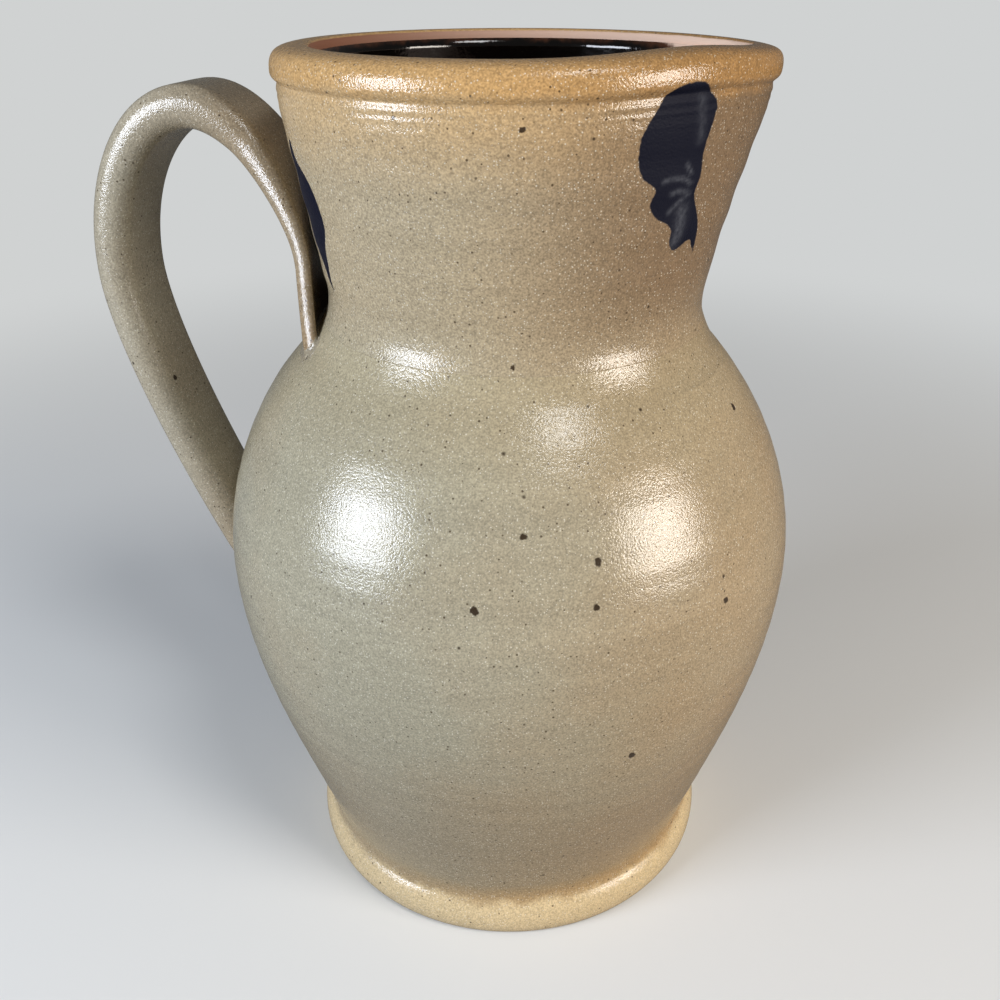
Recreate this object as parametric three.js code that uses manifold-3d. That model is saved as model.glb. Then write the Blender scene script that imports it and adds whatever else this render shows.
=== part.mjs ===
// Salt-glazed stoneware pitcher, as the potter puts it together: a thrown belly, a neck collar
// with a pulled spout luted on top, a pulled strap handle luted to shoulder and belly, and a
// dark slip coat poured inside. Millimetres, +Z up, the origin at the middle of the base,
// the handle towards -X and the spout towards +X.
import * as THREE from 'three';
import { mergeVertices } from 'three/addons/utils/BufferGeometryUtils.js';
import Module from 'manifold-3d';

// Heights above the table
const rimHeight = 228;
const seamHeight = 165;          // where the collar is luted to the belly
const bellyHeight = 98;          // the widest part of the belly
const footHeight = 10.8;         // the crease above the rolled foot
const floorThickness = 8;

// Outer radii
const baseRadius = 57.4;         // flat part of the base
const footRadius = 60;           // rolled foot bead
const creaseRadius = 57.9;
const bellyRadius = 77.1;
const waistRadius = 47.3;        // narrowest part of the neck
const bandRadius = 54.6;         // plain band under the rim bead
const beadRadius = 56.1;         // rolled rim bead
const lipRadius = 49.4;          // top of the lip

// Walls and coats
const bellyWall = 6;
const neckWall = 5;
const lipWall = 8.8;             // across the rolled rim, lip to bead
const liningThickness = 0.8;
const lutingThickness = 0.8;
const clearance = 0.3;           // between pieces that touch

// Details of the turned shape
const beadHeight = 7.5;          // rim bead, groove to lip
const bandHeight = 5.5;          // plain band below the groove
const grooveDepth = 0.5;
const grooveWidth = 1.2;         // the groove's slope down to the band
const bandSwell = 0.2;           // the band is this much fuller at the groove
const shoulderStep = 2;          // the shoulder ends this far out from the waist
const shoulderDrop = 3.5;        // and this far below the seam
const waistRise = 4.5;           // the waist lies this far above the seam
const seamFlare = 0.3;           // the wall is this much wider at the seam than at the waist
const seamCone = 1.8;            // the seam rises this much from outside to inside
const seamRecess = 0.35;         // the slip in the seam lies back from the surface
const floorFillet = 6;
const liningDrop = 2.6;          // bare clay left between the lip and the lining

// Spout and lean, pushed by hand after throwing
const spoutPull = 4.4;           // how far the outside of the rim is drawn out
const spoutThinning = 3;         // how much further the inside is drawn
const spoutSpread = 30;          // degrees to each side
const throatLength = 46;         // how far down the neck the throat reaches
const neckLean = 1.7;            // the neck sits this far towards the spout

// Strap handle
const strapWidth = 22.5;
const rootWidth = 61;            // spread round the neck where it is pressed onto the shoulder
const spreadLength = 60;         // the spread dies away over this much of the strap
const rootThickness = 4.4;
const archThickness = 12.2;
const tailThickness = 11;
const neckGap = 3.6;             // between the strap's root and the neck
const riserHeight = 11;          // the strap rises straight to here above the seam
const rootSink = 15.5;           // how far below the seam the root runs before it is trimmed
const archDrop = 14.8;           // top of the strap's centre line below the rim
const gripReach = 29.4;          // centre line beyond the belly at the grip
const gripHeight = 170;
const gripEase = 16;             // upright run of the strap below the grip
const tailHeight = 91;           // where the tail lands on the belly
const tailStandoff = 4.1;
const tailAngle = 25;            // degrees from upright as it comes down
const tailEase = 34;             // slanting run of the strap above its landing
const tailSink = 11;             // how far the tail runs into the wall before it is trimmed
const tailDrop = 17;
const lutingMargin = 1.2;        // slip squeezed out around the strap

// Fineness of the facets
const turnSegments = 44;
const strapSteps = 36;
const strapSides = 20;
const steps = { bead: 3, lower: 6, shoulder: 7, seam: 2, neck: 6, lip: 3, bore: 5, floor: 3 };

// Shares that shape the curves between the sizes above
const beadWidest = 0.45;         // a bead is fullest at this share of its height
const beadRoundness = 0.62;
const lowerSwell = { out: 0.45, up: 0.38, under: 0.32 };
const shoulderSwell = { rise: 0.44, out: 0.44, drop: 0.165 };
const seamTurn = 0.6;
const neckFlare = { rise: 0.25, out: 0.84, drop: 0.24 };
const neckBore = { rise: 0.33, drop: 0.34 };
const lipTurn = 0.7;
const riserRound = 0.45;
const archRound = 0.54;
const strapSquareness = 3.2;     // 2 is an oval, more is squarer
const spreadFall = 1.3;          // 1 is an even taper, more draws in sooner
const curlEnd = 0.5;             // share of the spread over which the strap flattens out
const spoutSharpness = 1.4;      // 1 is a sharp fold, 2 a round bulge
const throatRise = 1.4;

const grooveHeight = rimHeight - beadHeight;
const bandBase = grooveHeight - bandHeight;
const shoulderRadius = waistRadius + shoulderStep;
const shoulderHeight = seamHeight - shoulderDrop;
const waistHeight = seamHeight + waistRise;
const seamRadius = waistRadius + seamFlare;
const boreRadius = waistRadius - neckWall;
const lipBore = beadRadius - lipWall;
const liningTop = rimHeight - liningDrop;
const seamHalf = lutingThickness / 2;

const wasm = await Module();
wasm.setup();

const v2 = (radius, height) => new THREE.Vector2(radius, height);
const along = (radius, height) => new THREE.Vector3(-radius, 0, height);
const upright = new THREE.Vector3(0, 0, 1);
const { lerp: mix, smoothstep, clamp, degToRad } = THREE.MathUtils;

// A smooth curve from one point to another, steered by two more
function curve(from, lead, trail, to, count) {
  return new THREE.CubicBezierCurve(from, lead, trail, to).getPoints(count);
}

// A rounded corner
function corner(from, at, to, count) {
  return new THREE.QuadraticBezierCurve(from, at, to).getPoints(count);
}

// A rolled bead that leaves its lower edge flat, is upright where it is widest, and closes flat
function bead(low, high, widest) {
  const wide = v2(widest, mix(low.y, high.y, beadWidest));
  const lowLead = v2(mix(low.x, widest, beadRoundness), low.y);
  const wideTrail = v2(widest, mix(wide.y, low.y, beadRoundness));
  const wideLead = v2(widest, mix(wide.y, high.y, beadRoundness));
  const highTrail = v2(mix(high.x, widest, beadRoundness), high.y);
  return [
    ...curve(low, lowLead, wideTrail, wide, steps.bead),
    ...curve(wide, wideLead, highTrail, high, steps.bead),
  ];
}

// The belly's side from the foot's crease to the shoulder, set in from the outer face
function bellySide(inset) {
  const slant = inset * Math.SQRT1_2;
  const low = v2(creaseRadius - inset, footHeight);
  const wide = v2(bellyRadius - inset, bellyHeight);
  const high = v2(shoulderRadius - slant, shoulderHeight - slant);
  const rise = wide.y - low.y;
  const fall = high.y - wide.y;
  const lowLead = v2(mix(low.x, wide.x, lowerSwell.out), low.y + rise * lowerSwell.up);
  const wideTrail = v2(wide.x, wide.y - rise * lowerSwell.under);
  const wideLead = v2(wide.x, wide.y + fall * shoulderSwell.rise);
  const highTrail = v2(mix(high.x, wide.x, shoulderSwell.out), high.y - fall * shoulderSwell.drop);
  return [
    ...curve(low, lowLead, wideTrail, wide, steps.lower),
    ...curve(wide, wideLead, highTrail, high, steps.shoulder),
  ];
}

// The neck's outer face from the waist to the band under the rim, set out by a gap
function neckSide(gap) {
  const low = v2(waistRadius + gap, waistHeight);
  const high = v2(bandRadius + gap, bandBase);
  const rise = high.y - low.y;
  const lead = v2(low.x, low.y + rise * neckFlare.rise);
  const trail = v2(mix(low.x, high.x, neckFlare.out), high.y - rise * neckFlare.drop);
  return curve(low, lead, trail, high, steps.neck);
}

// The neck's bore from the seam up to the lining's edge, set in from the wall
function neckBoreSide(inset) {
  const low = v2(boreRadius - inset, seamHeight + seamCone);
  const high = v2(lipBore - inset, liningTop);
  const rise = high.y - low.y;
  const lead = v2(low.x, low.y + rise * neckBore.rise);
  const trail = v2(high.x, high.y - rise * neckBore.drop);
  return curve(low, lead, trail, high, steps.bore);
}

// The inside of the whole pot from the middle of the floor to just under the lip
function inside(inset) {
  const side = bellySide(bellyWall + inset);
  const floor = floorThickness + inset;
  const turn = corner(v2(side[0].x - floorFillet, floor), v2(side[0].x, floor), side[1], steps.floor);
  return [v2(0, floor), ...turn, ...side.slice(2), ...neckBoreSide(inset)];
}

// The outside of the pot above the foot, as a solid set out by a gap
function envelope(gap) {
  const side = bellySide(-gap);
  const high = side[side.length - 1];
  const waist = v2(waistRadius + gap, waistHeight);
  const turn = corner(high, v2(waist.x, seamHeight), waist, steps.seam);
  return solidOf(turned([v2(0, footHeight), ...side, ...turn, ...neckSide(gap), v2(0, bandBase)]));
}

function bellyOutline() {
  const foot = bead(v2(baseRadius, 0), v2(creaseRadius, footHeight), footRadius);
  const side = bellySide(0);
  const high = side[side.length - 1];
  const seamOut = v2(seamRadius, seamHeight - seamHalf - clearance);
  const seamIn = v2(boreRadius, seamOut.y + seamCone);
  const neckTurn = corner(high, v2(seamRadius, mix(high.y, seamOut.y, seamTurn)), seamOut, steps.seam);
  const wall = inside(0).filter((point) => point.y < seamIn.y - clearance).reverse();
  return [v2(0, 0), ...foot, ...side, ...neckTurn, seamIn, ...wall];
}

function lutingOutline() {
  const out = seamRadius - seamRecess;
  const bottom = seamHeight - seamHalf;
  const top = seamHeight + seamHalf;
  const outer = [v2(out, bottom), v2(out, top)];
  const inner = [v2(boreRadius, top + seamCone), v2(boreRadius, bottom + seamCone)];
  return [...outer, ...inner, v2(out, bottom)];
}

function collarOutline() {
  const foot = v2(seamRadius, seamHeight + seamHalf + clearance);
  const band = v2(bandRadius + bandSwell, grooveHeight - grooveWidth);
  const groove = v2(bandRadius - grooveDepth, grooveHeight);
  const crest = v2(lipRadius, rimHeight);
  const rim = bead(groove, crest, beadRadius);
  const lipIn = v2(lipBore, mix(rimHeight, liningTop, lipTurn));
  const lip = corner(crest, v2(lipBore, rimHeight), lipIn, steps.lip);
  const bore = neckBoreSide(0).reverse();
  const footIn = v2(boreRadius, foot.y + seamCone);
  return [foot, ...neckSide(0), band, ...rim, ...lip, ...bore.slice(0, -1), footIn, foot];
}

// The coat follows the inside with a clearance, and closes on the axis
function liningOutline() {
  const back = inside(clearance);
  const face = inside(clearance + liningThickness);
  return [...back, ...face.reverse()];
}

// Share one vertex where faces meet, and drop the flat slivers where a lathe meets its axis
function welded(geometry) {
  const bare = new THREE.BufferGeometry();
  bare.setAttribute('position', geometry.getAttribute('position'));
  bare.setIndex(geometry.getIndex());
  const merged = mergeVertices(bare);
  const corners = merged.getIndex().array;
  const kept = [];
  for (let i = 0; i < corners.length; i += 3) {
    const [a, b, c] = corners.slice(i, i + 3);
    if (a !== b && b !== c && c !== a) kept.push(a, b, c);
  }
  merged.setIndex(kept);
  return merged;
}

// How far the outer face lies from the axis at a height, before the spout is pulled
const outerFace = [
  ...bellySide(0),
  v2(waistRadius, seamHeight),
  ...neckSide(0),
  v2(bandRadius, grooveHeight),
];
function outerRadiusAt(height) {
  if (height >= grooveHeight) return beadRadius;
  const next = Math.max(1, outerFace.findIndex((point) => point.y > height));
  const [below, above] = [outerFace[next - 1], outerFace[next]];
  return mix(below.x, above.x, (height - below.y) / (above.y - below.y));
}

// Lean the neck and pull the spout, as the potter's hands do once the pot is thrown
function shapedByHand(geometry) {
  const position = geometry.getAttribute('position');
  const spread = degToRad(spoutSpread);
  const throatBase = rimHeight - throatLength;
  for (let i = 0; i < position.count; i += 1) {
    const height = position.getZ(i);
    const radius = Math.hypot(position.getX(i), position.getY(i));
    const angle = Math.atan2(position.getY(i), position.getX(i));
    const nose = Math.exp(-((Math.abs(angle) / spread) ** spoutSharpness));
    const rise = Math.max(0, (height - throatBase) / throatLength) ** throatRise;
    const depth = clamp((outerRadiusAt(height) - radius) / neckWall, 0, 1);
    const drawn = radius > 0 ? 1 + (spoutPull + spoutThinning * depth) * nose * rise / radius : 1;
    const lean = neckLean * smoothstep(height, shoulderHeight - shoulderDrop, waistHeight);
    position.setX(i, position.getX(i) * drawn + lean);
    position.setY(i, position.getY(i) * drawn);
  }
  return geometry;
}

function turned(outline) {
  const lathe = new THREE.LatheGeometry(outline, turnSegments).rotateX(Math.PI / 2);
  return shapedByHand(welded(lathe));
}

function solidOf(geometry) {
  return new wasm.Manifold(new wasm.Mesh({
    numProp: 3,
    vertProperties: new Float32Array(geometry.getAttribute('position').array),
    triVerts: new Uint32Array(geometry.getIndex().array),
  }));
}

function geometryOf(solid) {
  const mesh = solid.getMesh();
  const geometry = new THREE.BufferGeometry();
  geometry.setAttribute('position', new THREE.BufferAttribute(mesh.vertProperties, 3));
  geometry.setIndex(new THREE.BufferAttribute(mesh.triVerts, 1));
  return geometry;
}

// The strap's centre line: up beside the neck, over the arch, down past the grip, into the belly
const rootRadius = waistRadius - neckLean + neckGap + rootThickness / 2;
const rootBase = seamHeight - rootSink;
const riserTop = seamHeight + riserHeight;
const gripRadius = bellyRadius + gripReach;
const archRadius = (rootRadius + gripRadius) / 2;
const archHeight = rimHeight - archDrop;
const landing = outerRadiusAt(tailHeight) + tailStandoff;

function strapPath() {
  const lean = degToRad(tailAngle);
  const path = new THREE.CurvePath();
  path.add(new THREE.LineCurve3(along(rootRadius, rootBase), along(rootRadius, riserTop)));
  path.add(new THREE.CubicBezierCurve3(
    along(rootRadius, riserTop),
    along(rootRadius, mix(riserTop, archHeight, riserRound)),
    along(mix(archRadius, rootRadius, riserRound), archHeight),
    along(archRadius, archHeight),
  ));
  path.add(new THREE.CubicBezierCurve3(
    along(archRadius, archHeight),
    along(mix(archRadius, gripRadius, archRound), archHeight),
    along(gripRadius, mix(gripHeight, archHeight, archRound)),
    along(gripRadius, gripHeight),
  ));
  path.add(new THREE.CubicBezierCurve3(
    along(gripRadius, gripHeight),
    along(gripRadius, gripHeight - gripEase),
    along(landing + Math.sin(lean) * tailEase, tailHeight + Math.cos(lean) * tailEase),
    along(landing, tailHeight),
  ));
  path.add(new THREE.QuadraticBezierCurve3(
    along(landing, tailHeight),
    along(landing - Math.sin(lean) * tailSink, tailHeight - Math.cos(lean) * tailSink),
    along(landing - tailStandoff - tailSink, tailHeight - tailDrop),
  ));
  return path;
}

const strapLine = strapPath();
const [riserEnd, archEnd, gripEnd, landingEnd, strapEnd] = strapLine.getCurveLengths();

// The strap is thin at its root, fullest over the arch, and thins a little towards its tail
function strapThickness(share) {
  const length = share * strapEnd;
  const swell = mix(rootThickness, archThickness, smoothstep(length, riserEnd, archEnd));
  return mix(swell, tailThickness, smoothstep(length, gripEnd, landingEnd));
}

// What is left of the root's spread at a share of the length
function strapSpread(share) {
  return Math.max(0, 1 - (share * strapEnd) / spreadLength);
}

// Its root spreads where the thumb presses it down
function strapBreadth(share) {
  return mix(strapWidth, rootWidth, strapSpread(share) ** spreadFall);
}

// How sharply the strap bends across its breadth: the spread root curls round the neck, the rest is flat
function strapBend(share) {
  return smoothstep(strapSpread(share), 0, curlEnd) / rootRadius;
}

// A step across the strap that bends this sharply
function stepAcross(step, bend) {
  if (bend === 0) {
    return new THREE.Vector3(0, step, 0);
  }
  return new THREE.Vector3((1 - Math.cos(step * bend)) / bend, Math.sin(step * bend) / bend, 0);
}

// One section of the strap, a rounded oblong across the centre line
function strapRing(share, margin) {
  const centre = strapLine.getPointAt(share);
  const forward = strapLine.getTangentAt(share);
  const sideways = new THREE.Vector3(0, 1, 0);
  const outward = new THREE.Vector3().crossVectors(forward, sideways);
  const halfWidth = strapBreadth(share) / 2 + margin;
  const halfDepth = strapThickness(share) / 2 + margin;
  const bend = strapBend(share);
  const ring = [];
  for (let k = 0; k < strapSides; k += 1) {
    const turn = (k / strapSides) * 2 * Math.PI;
    const across = Math.sign(Math.cos(turn)) * Math.abs(Math.cos(turn)) ** (2 / strapSquareness);
    const up = Math.sign(Math.sin(turn)) * Math.abs(Math.sin(turn)) ** (2 / strapSquareness);
    const step = across * halfWidth;
    const facing = outward.clone().applyAxisAngle(upright, -step * bend);
    ring.push(centre.clone().add(stepAcross(step, bend)).addScaledVector(facing, up * halfDepth));
  }
  return ring;
}

// A closed skin over a row of rings, each end closed by strips from face to face
function lofted(rings) {
  const sides = rings[0].length;
  const faces = [];
  for (let row = 0; row + 1 < rings.length; row += 1) {
    for (let k = 0; k < sides; k += 1) {
      const a = row * sides + k;
      const b = row * sides + ((k + 1) % sides);
      faces.push(a, b, a + sides, b, b + sides, a + sides);
    }
  }
  const half = sides / 2;
  const cap = [half - 1, half, half + 1];
  for (let k = 1; k < half; k += 1) {
    cap.push(k - 1, k, sides - k);
    if (k > 1) {
      cap.push(k - 1, sides - k, sides - k + 1);
    }
  }
  const last = (rings.length - 1) * sides;
  for (let i = 0; i < cap.length; i += 3) {
    const [a, b, c] = cap.slice(i, i + 3);
    faces.push(a, c, b, last + a, last + b, last + c);
  }
  const geometry = new THREE.BufferGeometry().setFromPoints(rings.flat());
  geometry.setIndex(faces);
  return geometry;
}

// The strap between two shares of its length, grown by a margin
function strap(from, to, count, margin) {
  const rings = [];
  for (let i = 0; i <= count; i += 1) {
    rings.push(strapRing(mix(from, to, i / count), margin));
  }
  return solidOf(lofted(rings));
}

const lutingFace = envelope(clearance);
const lutingBack = envelope(clearance + lutingThickness);
const strapFace = envelope(clearance * 2 + lutingThickness);
const rootShare = (seamHeight - clearance - rootBase) / strapEnd;
const tailShare = (gripEnd + landingEnd) / 2 / strapEnd;

const handle = strap(0, 1, strapSteps, 0).subtract(strapFace);
const lutingCoat = lutingBack.subtract(lutingFace);
const upperLuting = strap(0, rootShare, steps.seam, lutingMargin).intersect(lutingCoat);
const lowerLuting = strap(tailShare, 1, strapSteps / 2, lutingMargin).intersect(lutingCoat);

const saltGlaze = new THREE.MeshStandardMaterial({ color: 0xb3a78f, roughness: 0.35, metalness: 0 });
const toastedGlaze = new THREE.MeshStandardMaterial({ color: 0xb9a27a, roughness: 0.4, metalness: 0 });
const handleGlaze = new THREE.MeshStandardMaterial({ color: 0xa39a86, roughness: 0.35, metalness: 0 });
const darkSlip = new THREE.MeshStandardMaterial({ color: 0x17110e, roughness: 0.12, metalness: 0 });
const lutingSlip = new THREE.MeshStandardMaterial({ color: 0x8f8168, roughness: 0.5, metalness: 0 });

function piece(name, geometry, material) {
  const mesh = new THREE.Mesh(geometry, material);
  mesh.name = name;
  return mesh;
}

const pitcher = new THREE.Group();
pitcher.add(piece('belly', turned(bellyOutline()), saltGlaze));
pitcher.add(piece('collar_luting', turned(lutingOutline()), lutingSlip));
pitcher.add(piece('neck_collar', turned(collarOutline()), toastedGlaze));
pitcher.add(piece('slip_lining', turned(liningOutline()), darkSlip));
pitcher.add(piece('strap_handle', geometryOf(handle), handleGlaze));
pitcher.add(piece('upper_handle_luting', geometryOf(upperLuting), lutingSlip));
pitcher.add(piece('lower_handle_luting', geometryOf(lowerLuting), lutingSlip));

export default pitcher;
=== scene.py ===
import math
from functools import partial

import bpy
import numpy as np
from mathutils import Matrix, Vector


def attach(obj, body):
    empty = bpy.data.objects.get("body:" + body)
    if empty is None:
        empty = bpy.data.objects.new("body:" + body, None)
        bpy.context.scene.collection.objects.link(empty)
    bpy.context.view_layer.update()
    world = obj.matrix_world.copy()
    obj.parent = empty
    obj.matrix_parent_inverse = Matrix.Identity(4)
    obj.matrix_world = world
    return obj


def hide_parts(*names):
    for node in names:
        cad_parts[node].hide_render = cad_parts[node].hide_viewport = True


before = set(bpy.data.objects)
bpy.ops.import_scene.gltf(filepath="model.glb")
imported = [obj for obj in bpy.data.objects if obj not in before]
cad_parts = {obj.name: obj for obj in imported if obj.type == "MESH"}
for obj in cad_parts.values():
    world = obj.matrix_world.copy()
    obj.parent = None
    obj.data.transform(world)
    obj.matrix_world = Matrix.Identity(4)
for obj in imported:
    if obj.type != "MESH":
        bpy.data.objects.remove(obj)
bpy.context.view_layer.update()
mm = 0.001
perMetre = 1000.0
fullTurn = 2 * math.pi
mergeReach = 0.002 * mm
noiseRange = {"From Min": 0.3, "From Max": 0.7}  # most of a noise pattern lies between these


# sRGB hex to the linear colour that Blender wants
def hexColor(code):
    parts = [int(code[i:i + 2], 16) / 255 for i in (1, 3, 5)]
    linear = [v / 12.92 if v <= 0.04045 else ((v + 0.055) / 1.055) ** 2.4 for v in parts]
    return (*linear, 1.0)


# links maps an input to a node, a socket or a plain value; a kind without a prefix is a shader node
def addNode(tree, kind, links=None, **settings):
    node = tree.nodes.new(kind if "Node" in kind else "ShaderNode" + kind)
    for key, value in settings.items():
        setattr(node, key, value)
    for key, source in (links or {}).items():
        named = [s for s in node.inputs if s.enabled and s.name == key]
        socket = named[0] if named else node.inputs[key]
        if isinstance(source, bpy.types.Node):
            source = [s for s in source.outputs if s.enabled][0]
        if isinstance(source, bpy.types.NodeSocket):
            tree.links.new(source, socket)
        else:
            socket.default_value = source
    return node


# an empty tree with named inputs, and what adds nodes to it
def newTree(name, inputs):
    tree = bpy.data.node_groups.new(name, "GeometryNodeTree")
    tree.interface.new_socket("Geometry", in_out="INPUT", socket_type="NodeSocketGeometry")
    for label, kind in inputs.items():
        tree.interface.new_socket(label, in_out="INPUT", socket_type="NodeSocket" + kind)
    tree.interface.new_socket("Geometry", in_out="OUTPUT", socket_type="NodeSocketGeometry")
    return tree, partial(addNode, tree)


# a grid with columns round the piece and rows along its outline, and what the outline says at each row
def rowGrid(add, given, around, carried):
    count = add("GeometryNodeAttributeDomainSize", {0: given["Geometry"]}).outputs["Point Count"]
    columns = add("Math", {0: given[around], 1: 1.0}, operation="ADD")
    grid = add("GeometryNodeMeshGrid", {
        "Size X": 1.0, "Size Y": 1.0, "Vertices X": columns, "Vertices Y": count})
    spread = add("SeparateXYZ", {0: add("GeometryNodeInputPosition")}).outputs
    turn = add("Math", {0: spread["X"], 1: fullTurn}, operation="MULTIPLY")
    last = add("Math", {0: count, 1: 1.0}, operation="SUBTRACT")
    part = add("Math", {0: spread["Y"], 1: 0.5}, operation="ADD")
    rowPart = add("Math", {0: part, 1: last}, operation="MULTIPLY")
    row = add("Math", {0: rowPart}, operation="ROUND")
    spot = add("GeometryNodeSampleIndex", data_type="FLOAT_VECTOR", links={
        "Geometry": given["Geometry"], "Value": add("GeometryNodeInputPosition"), "Index": row})
    read = {}
    for label, kind in carried.items():
        named = add("GeometryNodeInputNamedAttribute", data_type=kind, links={"Name": label})
        read[label] = add("GeometryNodeSampleIndex", data_type=kind, links={
            "Geometry": given["Geometry"], "Value": named, "Index": row})
    return grid, turn, spot, read


# puts the grid's points in place, closes its seam and poles, and glazes it
def closeTree(add, given, flow, point, insideOut):
    moved = add("GeometryNodeSetPosition", {"Geometry": flow, "Position": point})
    closed = add("GeometryNodeMergeByDistance", {"Geometry": moved, "Distance": mergeReach})
    if insideOut:
        closed = add("GeometryNodeFlipFaces", {"Mesh": closed})
    soft = add("GeometryNodeSetShadeSmooth", {"Geometry": closed, "Shade Smooth": True})
    real = add("GeometryNodeRealizeInstances", {0: soft})
    glazed = add("GeometryNodeSetMaterial", {"Geometry": real, "Material": given["Material"]})
    add("NodeGroupOutput", {0: glazed})


def linked(name, data):
    made = bpy.data.objects.new(name, data)
    bpy.context.scene.collection.objects.link(made)
    return made


# a chain of points in mm, with the numbers or vectors that each point carries
def outlineObject(name, points, carried):
    mesh = bpy.data.meshes.new(name)
    chain = [(i, i + 1) for i in range(len(points) - 1)]
    mesh.from_pydata([tuple(v * mm for v in p) for p in points], chain, [])
    for label, values in carried.items():
        values = np.array(values, np.float32)
        kind, field = ("FLOAT_VECTOR", "vector") if values.ndim > 1 else ("FLOAT", "value")
        mesh.attributes.new(label, kind, "POINT").data.foreach_set(field, values.ravel())
    return linked(name, mesh)


# runs a tree on the piece and keeps the result as a plain mesh
def shape(piece, tree, values):
    modifier = piece.modifiers.new("shape", "NODES")
    modifier.node_group = tree
    for item in tree.interface.items_tree:
        if item.in_out == "INPUT" and item.name in values:
            modifier[item.identifier] = values[item.name]
    depsgraph = bpy.context.evaluated_depsgraph_get()
    made = bpy.data.meshes.new_from_object(piece.evaluated_get(depsgraph), depsgraph=depsgraph)
    piece.modifiers.remove(modifier)
    piece.data = made
    made.name = piece.name


def place(piece, node):
    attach(piece, "root")
    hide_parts(node)
    print(piece.name, len(piece.data.vertices), "points")


# the points of a finished piece in mm, and their azimuths in degrees
def spotsOf(piece):
    spots = np.empty(len(piece.data.vertices) * 3)
    piece.data.vertices.foreach_get("co", spots)
    spots = spots.reshape(-1, 3) / mm
    return spots, np.degrees(np.arctan2(spots[:, 1], spots[:, 0]))


def carry(piece, label, values):
    piece.data.attributes.new(label, "FLOAT", "POINT").data.foreach_set("value", values.astype(np.float32))


def bezier(a, b, c, d, count):
    t = np.linspace(0, 1, count + 1)[:, None]
    a, b, c, d = (np.array(p, float) for p in (a, b, c, d))
    return a * (1 - t) ** 3 + 3 * b * t * (1 - t) ** 2 + 3 * c * t ** 2 * (1 - t) + d * t ** 3


# Bezier runs end to end: a corner, two handles, a corner, two handles, a corner and so on
def curves(points, counts):
    runs = [bezier(*points[3 * i:3 * i + 4], count) for i, count in enumerate(counts)]
    return np.vstack([runs[0]] + [run[1:] for run in runs[1:]])


# joins runs of points end to end, and gives each point the name of the run it came from
def join(runs):
    points = [runs[0][1][:1]]
    owner = [runs[0][0]]
    for label, run in runs:
        points.append(run[1:])
        owner += [label] * (len(run) - 1)
    return np.vstack(points), np.array(owner)


def unit(ways):
    return ways / np.linalg.norm(ways, axis=-1, keepdims=True)


def radiusAt(outline, height):
    return np.interp(height, outline[:, 1], outline[:, 0])


def smooth(value, low, high):
    t = np.clip((value - low) / (high - low), 0, 1)
    return t * t * (3 - 2 * t)


# what the potter's hand does to the thrown form: the neck leans, the spout is pulled; mm, degrees, powers
handLengths = {
    "Lean": 1.7, "Lean Low": 146.0, "Lean High": 176.0, "Spout Pull": 4.4, "Spout Thinning": 3.0,
    "Throat Low": 182.0, "Throat Length": 46.0, "Lip Lift": 1.5,
}
handAngles = {"Spout Spread": 30.0, "Lift At": -36.0, "Lift Spread": 24.0}
handPowers = {"Spout Sharpness": 1.4, "Throat Rise": 1.4}
handValues = {
    **{label: length * mm for label, length in handLengths.items()},
    **{label: math.radians(angle) for label, angle in handAngles.items()}, **handPowers,
}
thrownInputs = {
    "Around": "Int", "Ring Depth": "Float", "Ring Pitch": "Float", "Ring Beat": "Float", "Seed": "Float",
    **{label: "Float" for label in handValues}, "Material": "Material",
}
thrownCarried = {"depth": "FLOAT", "outside": "FLOAT", "bare": "FLOAT"}
ringBeat = 0.37  # how often the rings swell, to one ring


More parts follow.
